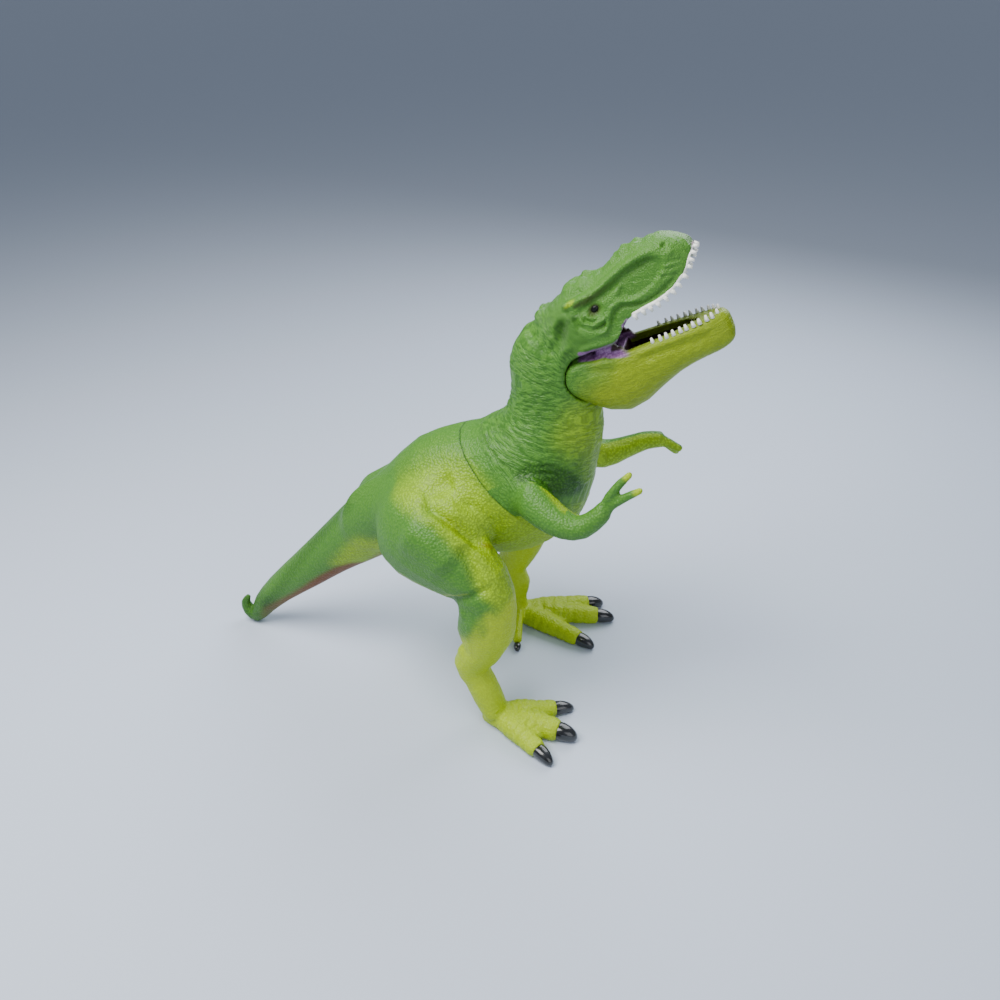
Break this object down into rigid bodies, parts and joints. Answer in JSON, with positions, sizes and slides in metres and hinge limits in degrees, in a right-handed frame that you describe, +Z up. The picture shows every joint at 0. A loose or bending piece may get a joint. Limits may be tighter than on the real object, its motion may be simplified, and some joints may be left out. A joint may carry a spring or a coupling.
{
  "type": "toy dinosaur figure",
  "caption": "Standing tyrannosaur toy of soft vinyl with its mouth open: two feet and the tail carry it, and the lower jaw turns on a pin.",
  "frame": {"origin": "middle of the underside of the figure's bounding box, on the floor", "axes": "+X forward from tail to jaws, +Y to the figure's left, +Z up"},
  "size_m": [0.2128, 0.1102, 0.2005],
  "materials": {
    "belly_vinyl": "satin, pebbled",
    "back_vinyl": "satin, pebbled",
    "tooth_vinyl": "gloss paint",
    "jaw_vinyl": "satin, pebbled",
    "pin_steel": "drawn wire",
    "leg_vinyl": "satin, pebbled"
  },
  "bodies": {
    "figure": {"rear_shell": "belly_vinyl", "front_shell": "back_vinyl", "upper_teeth": "tooth_vinyl", "jaw_pin": "pin_steel", "right_leg": "leg_vinyl", "left_leg": "leg_vinyl", "right_arm": "back_vinyl", "left_arm": "back_vinyl"},
    "jaw": {"lower_jaw": "jaw_vinyl"}
  },
  "joints": [
    {"name": "jaw_hinge", "type": "hinge", "parent": "figure", "child": "jaw", "pos_m": [0.05964, 0.00248, 0.15], "axis": [0, -1, 0], "range_deg": [0, 14]}
  ]
}
